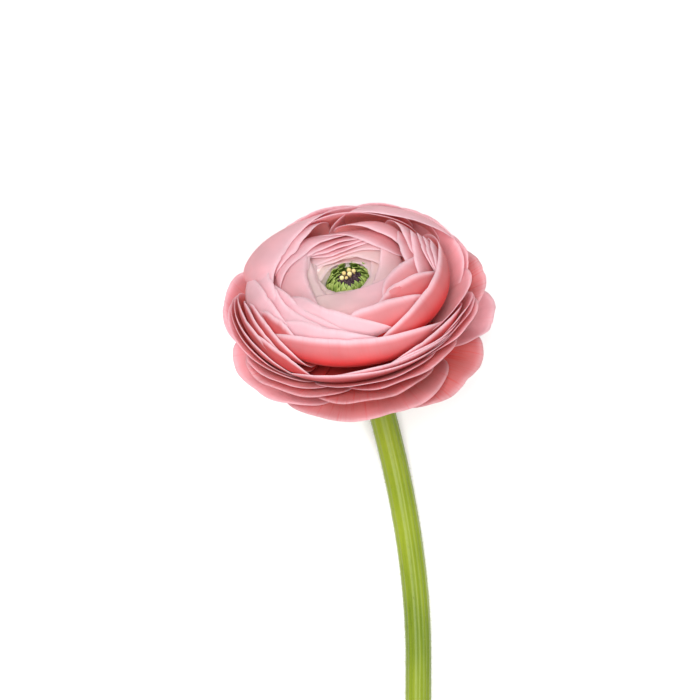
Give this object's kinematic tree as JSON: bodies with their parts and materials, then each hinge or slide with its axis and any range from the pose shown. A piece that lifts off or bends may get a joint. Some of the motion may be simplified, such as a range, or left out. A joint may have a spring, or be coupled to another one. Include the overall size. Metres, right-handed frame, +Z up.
{
  "type": "ranunculus flower",
  "caption": "Cut double ranunculus lying on its side: a domed pink bloom of layered petals round a green eye, on a bare curved stem.",
  "frame": {"origin": "centre of the bounding box in X and Y, on the surface that the flower lies on", "axes": "+Z up from the surface, +Y along the stem from its cut foot to the bloom, +X to the right of the bloom seen from above"},
  "size_m": [0.0694, 0.2294, 0.0537],
  "materials": {
    "petal": "soft satin petal, coral pink deep down and pale pink at the rims",
    "stem": "yellow-green stem with a soft bloom of fine hairs",
    "sepal": "matte green leaf",
    "scale": "satin green",
    "pistil": "matte dark purple",
    "anther": "matte cream yellow"
  },
  "bodies": {
    "root": {"petals": "petal", "stem": "stem", "sepals": "sepal", "green_scales": "scale", "pistils": "pistil", "anthers": "anther"}
  },
  "joints": []
}
